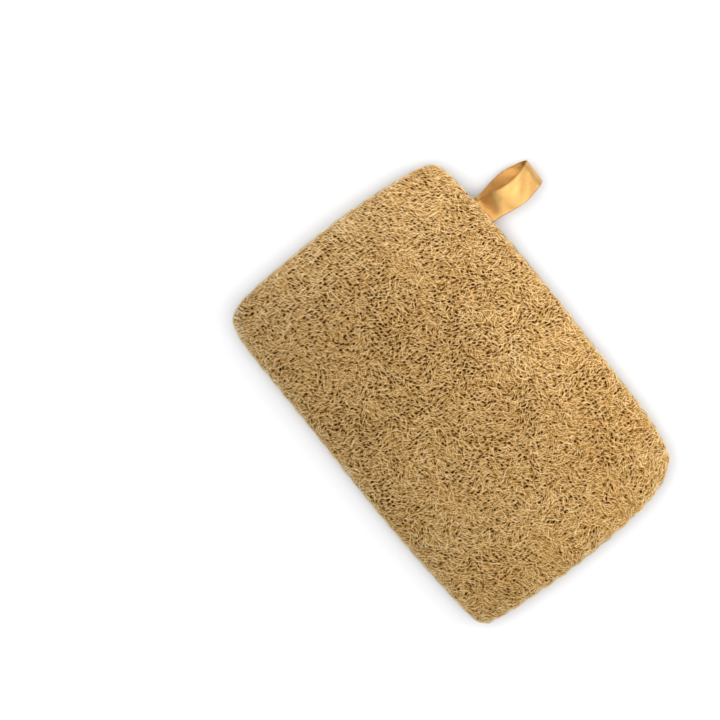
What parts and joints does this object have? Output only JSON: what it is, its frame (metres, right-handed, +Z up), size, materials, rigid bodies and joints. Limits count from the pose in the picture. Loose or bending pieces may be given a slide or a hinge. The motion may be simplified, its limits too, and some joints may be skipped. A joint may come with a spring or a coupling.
{
  "type": "natural loofah sponge",
  "caption": "Flat bath sponge of natural loofah: two pressed layers of raised fibre net sewn together round a soft rim, with a satin hanging loop caught in one long side.",
  "frame": {"origin": "middle of the small flat spot under the sponge that it rests on", "axes": "+X along the sponge's length, the loop near its low X end; +Y across it, to the side with the loop; +Z up"},
  "size_m": [0.159, 0.1276, 0.0136],
  "materials": {
    "loofah_fibre": "dry matt plant fibre net",
    "ribbon_satin": "glossy woven satin",
    "seam_cotton": "matt cotton thread"
  },
  "bodies": {
    "root": {"front_ply": "loofah_fibre", "back_ply": "loofah_fibre", "ribbon_loop": "ribbon_satin", "seam_thread": "seam_cotton"}
  },
  "joints": []
}
